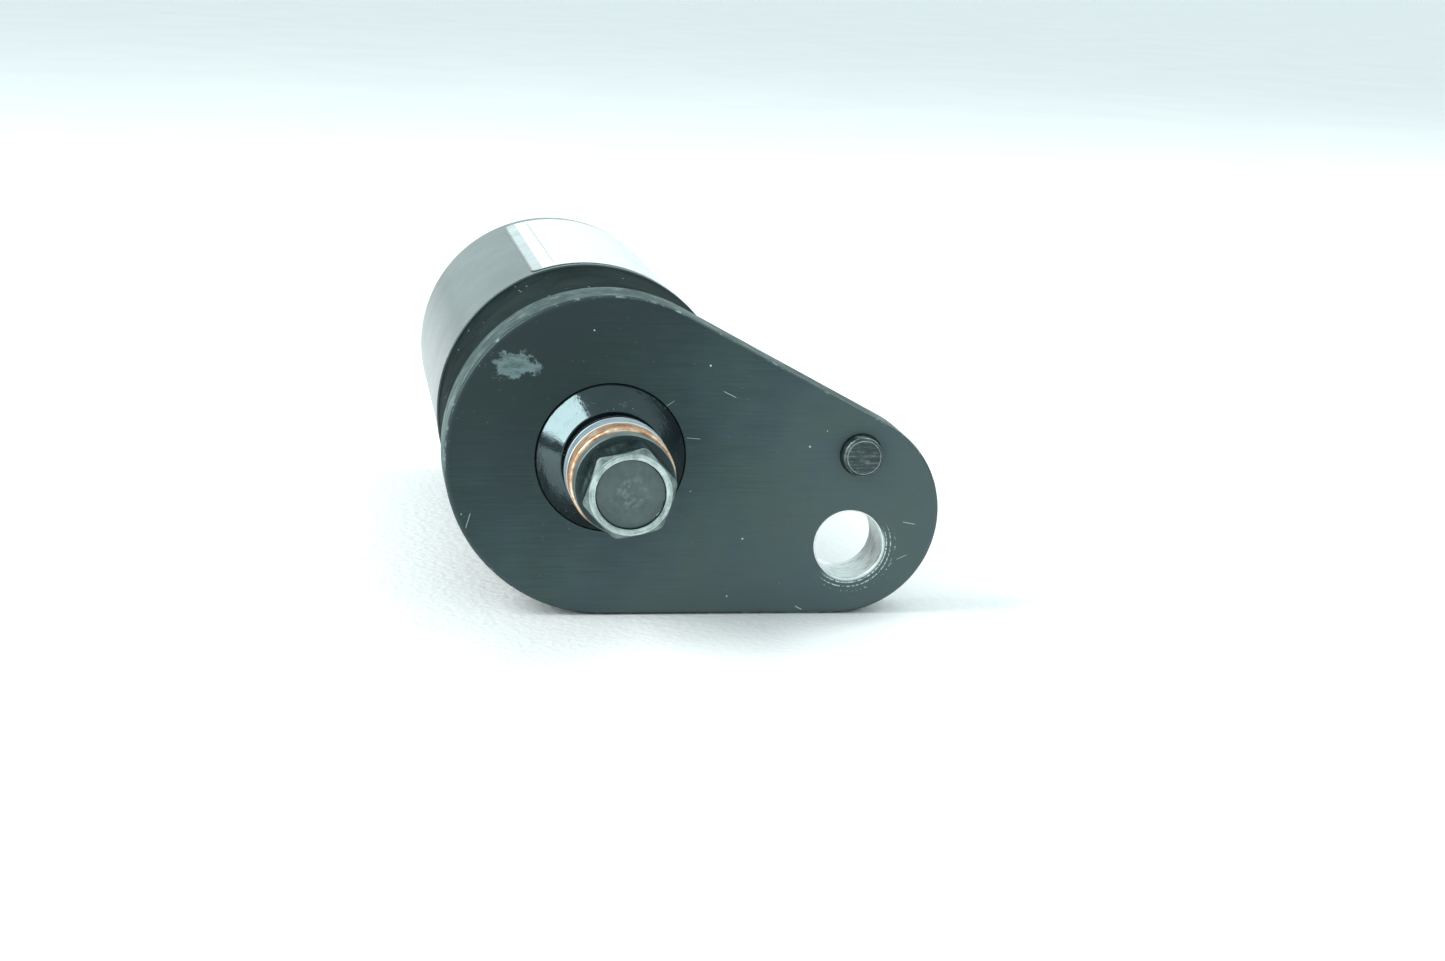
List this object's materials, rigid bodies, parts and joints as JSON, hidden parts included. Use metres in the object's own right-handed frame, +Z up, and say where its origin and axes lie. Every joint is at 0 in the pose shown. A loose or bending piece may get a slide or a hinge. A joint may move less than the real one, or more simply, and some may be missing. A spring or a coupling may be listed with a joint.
{
  "type": "hydraulic piston accumulator",
  "caption": "Small gas-charged piston accumulator: labelled canister on a teardrop mounting plate with a bolt hole, a locating pin and a plugged conical port boss.",
  "frame": {"origin": "on the axis of the plate's bolt hole, in the plane of the plate's front face", "axes": "+Y along the canister from the port end to the gas end, +X towards the plate's ear, +Z up as the object lies on the plate's flat lower edge"},
  "size_m": [0.1011, 0.1824, 0.065],
  "materials": {
    "plate_black": "satin black phosphate, rubbed grey along the rim",
    "neck_black": "satin black over turned steel",
    "shell_black": "semi-gloss black paint",
    "boss_gloss": "gloss black",
    "plug_black": "black oxide worn to bare steel along the chamfer",
    "pin_steel": "blackened steel with a bare end",
    "bright_steel": "zinc-bright",
    "copper": "brushed copper",
    "rubber": "black rubber",
    "ptfe": "white polymer",
    "label_white": "clear-laminated white film",
    "bronze_screen": "sintered bronze",
    "piston_aluminium": "turned aluminium",
    "guide_strip": "brown phenolic strip",
    "slide_ring": "bronze-filled polymer",
    "valve_steel": "zinc-plated steel",
    "brass": "turned brass",
    "cap_plastic": "moulded black cap"
  },
  "bodies": {
    "casing": {"mounting_plate": "plate_black", "locating_pin": "pin_steel", "anti_rotation_pin": "bright_steel", "front_cap": "neck_black", "cap_o_ring": "rubber", "cap_backup_ring": "ptfe", "bumper_ring": "rubber", "shell_tube": "shell_black", "rating_label": "label_white", "port_boss": "boss_gloss", "port_boss_o_ring": "rubber", "port_screen": "bronze_screen", "screen_retaining_ring": "bright_steel", "gas_valve_body": "valve_steel", "gas_valve_o_ring": "rubber", "gas_valve_spring": "bright_steel", "gas_valve_retainer": "brass"},
    "piston": {"piston": "piston_aluminium", "piston_guide_front": "guide_strip", "piston_slide_ring": "slide_ring", "piston_energiser": "rubber", "piston_gas_seal": "rubber", "piston_guide_rear": "guide_strip"},
    "port_seals": {"copper_ring": "copper", "steel_spacer": "bright_steel", "bonded_seal": "rubber"},
    "port_plug": {"port_plug": "plug_black"},
    "gas_cap_seal": {"gas_cap_seal": "rubber"},
    "gas_cap": {"gas_valve_cap": "cap_plastic"},
    "valve_pin": {"gas_valve_pin": "brass", "gas_valve_seal": "rubber"}
  },
  "joints": [
    {"name": "piston_slide", "type": "slide", "parent": "casing", "child": "piston", "axis": [0, 1, 0], "range_m": [0, 0.034], "stiffness_N_per_m": 300, "springref_m": -0.02},
    {"name": "port_plug_lift", "type": "slide", "parent": "casing", "child": "port_seals", "axis": [0, -1, 0], "range_m": [0, 0.0105]},
    {"name": "port_plug_turn", "type": "hinge", "parent": "port_seals", "child": "port_plug", "pos_m": [-0.0495, -0.02, 0.0179], "axis": [0, -1, 0], "range_deg": [0, 2520]},
    {"name": "gas_cap_lift", "type": "slide", "parent": "casing", "child": "gas_cap_seal", "axis": [0, 1, 0], "range_m": [0, 0.009]},
    {"name": "gas_cap_turn", "type": "hinge", "parent": "gas_cap_seal", "child": "gas_cap", "pos_m": [-0.0495, 0.145, 0.0179], "axis": [0, 1, 0], "range_deg": [0, 3240]},
    {"name": "valve_pin_press", "type": "slide", "parent": "casing", "child": "valve_pin", "axis": [0, -1, 0], "range_m": [0, 0.0015], "stiffness_N_per_m": 50, "springref_m": -0.002, "deforming": ["gas_valve_spring"]}
  ],
  "couplings": [
    {"joint": "port_plug_turn", "follows": "port_plug_lift", "rad_per_m": 4188.8},
    {"joint": "gas_cap_turn", "follows": "gas_cap_lift", "rad_per_m": 6283.2}
  ]
}
